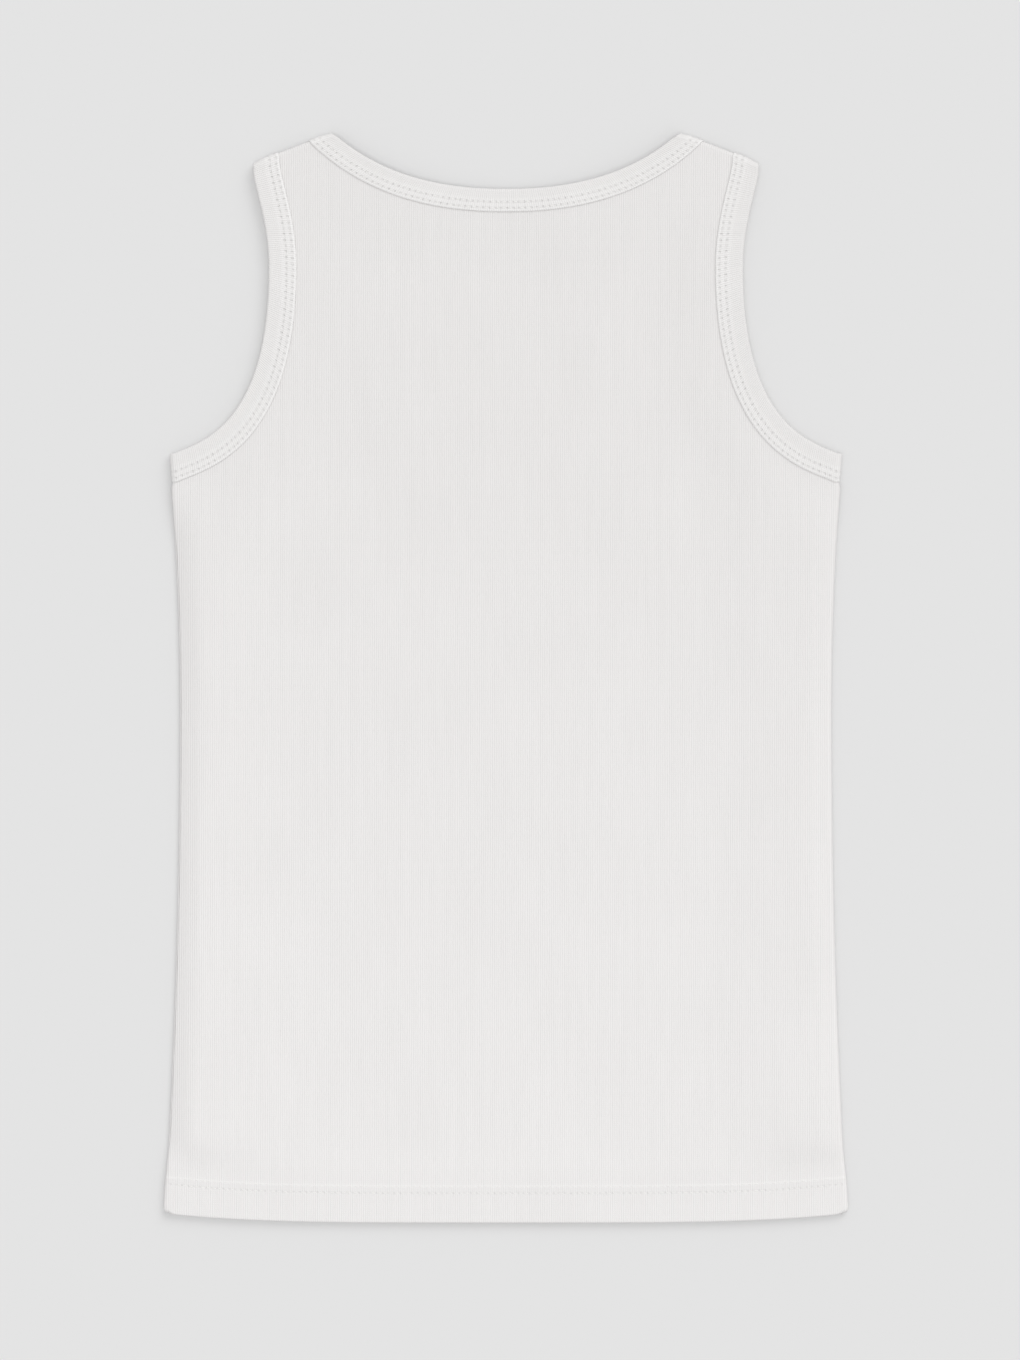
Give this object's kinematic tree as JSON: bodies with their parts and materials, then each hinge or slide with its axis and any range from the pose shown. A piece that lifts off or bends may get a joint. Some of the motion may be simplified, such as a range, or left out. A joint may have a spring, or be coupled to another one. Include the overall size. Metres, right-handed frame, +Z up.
{
  "type": "tank top",
  "caption": "Child's plain off-white rib tank top, sleeveless, lying flat with its back panel up, with folded neck and armhole bindings and turned-up hems.",
  "frame": {"origin": "middle of the laid garment's box in X and Y, on the surface it lies on", "axes": "+X across the chest towards the wearer's right side, +Y from the hem up to the shoulders, +Z up out of the surface, through the front panel and then the back panel"},
  "size_m": [0.3066, 0.4891, 0.0075],
  "materials": {
    "rib_knit": "matte off-white cotton rib knit",
    "rib_binding": "matte off-white cotton rib knit"
  },
  "bodies": {
    "root": {"front_panel": "rib_knit", "back_panel": "rib_knit", "neck_binding": "rib_binding", "armhole_binding_left": "rib_binding", "armhole_binding_right": "rib_binding"}
  },
  "joints": []
}
